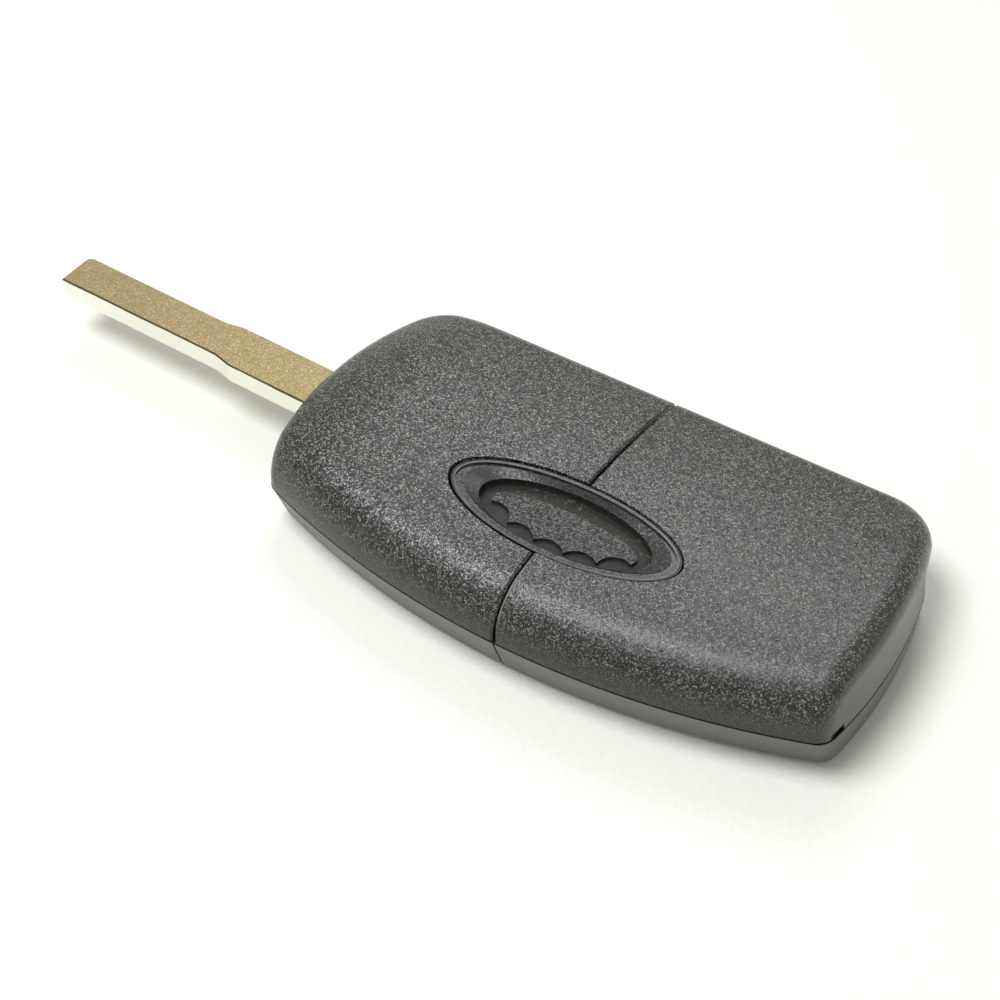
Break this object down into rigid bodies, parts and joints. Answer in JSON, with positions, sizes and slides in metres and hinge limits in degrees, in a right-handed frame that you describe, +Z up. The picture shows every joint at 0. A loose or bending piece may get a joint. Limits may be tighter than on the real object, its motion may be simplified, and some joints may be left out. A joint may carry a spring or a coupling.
{
  "type": "flip remote key",
  "caption": "Car key with a flat blade that flips out of a rounded remote body, an oval seat in its back, a key ring corner and push keys below.",
  "frame": {"origin": "on the seam between head and remote unit, under the middle of the oval seat, at the lowest face", "axes": "+X towards the open blade's tip, +Y towards the curved near side, +Z up through the crowned back"},
  "size_m": [0.121, 0.0425, 0.0143],
  "materials": {
    "shell": "spark-eroded grain",
    "front_shell": "fine satin",
    "seat": "fine satin",
    "blade": "satin nickel silver",
    "carrier": "die-cast zinc",
    "pin": "ground",
    "spring": "drawn wire",
    "release": "satin chrome",
    "keys": "soft matte",
    "pad": "matte",
    "board": "solder resist",
    "switch": "plated",
    "cell": "satin",
    "contact": "plated spring steel",
    "chip": "matte",
    "crystal": "plated",
    "coil": "enamelled wire",
    "transponder": "moulded"
  },
  "bodies": {
    "body": {"head_back_cover": "shell", "remote_back_cover": "shell", "head_front_cover": "front_shell", "remote_front_cover": "front_shell", "seat_insert": "seat", "key_ring_post": "pin", "flip_spring": "spring", "key_pad": "pad", "circuit_board": "board", "tact_switches": "switch", "coin_cell": "cell", "battery_plus_contact": "contact", "battery_minus_contact": "contact", "control_chip": "chip", "crystal": "crystal", "antenna_coil": "coil", "transponder": "transponder"},
    "blade": {"key_blade": "blade", "blade_carrier": "carrier", "blade_roll_pin": "pin"},
    "release": {"release_button": "release"},
    "unlock": {"unlock_button": "keys"},
    "lock": {"lock_button": "keys"},
    "boot": {"boot_button": "keys"}
  },
  "joints": [
    {"name": "blade_flip", "type": "hinge", "parent": "body", "child": "blade", "pos_m": [0.0275, -0.0146, 0.0076], "axis": [0, 0, -1], "range_deg": [0, 178.2], "stiffness_Nm_per_rad": 0.01, "springref_deg": -17.19},
    {"name": "release_press", "type": "slide", "parent": "body", "child": "release", "axis": [0, 0, 1], "range_m": [0, 0.0014], "stiffness_N_per_m": 400},
    {"name": "unlock_press", "type": "slide", "parent": "body", "child": "unlock", "axis": [0, 0, 1], "range_m": [0, 0.0006], "stiffness_N_per_m": 800},
    {"name": "lock_press", "type": "slide", "parent": "body", "child": "lock", "axis": [0, 0, 1], "range_m": [0, 0.0006], "stiffness_N_per_m": 800},
    {"name": "boot_press", "type": "slide", "parent": "body", "child": "boot", "axis": [0, 0, 1], "range_m": [0, 0.0006], "stiffness_N_per_m": 800}
  ]
}
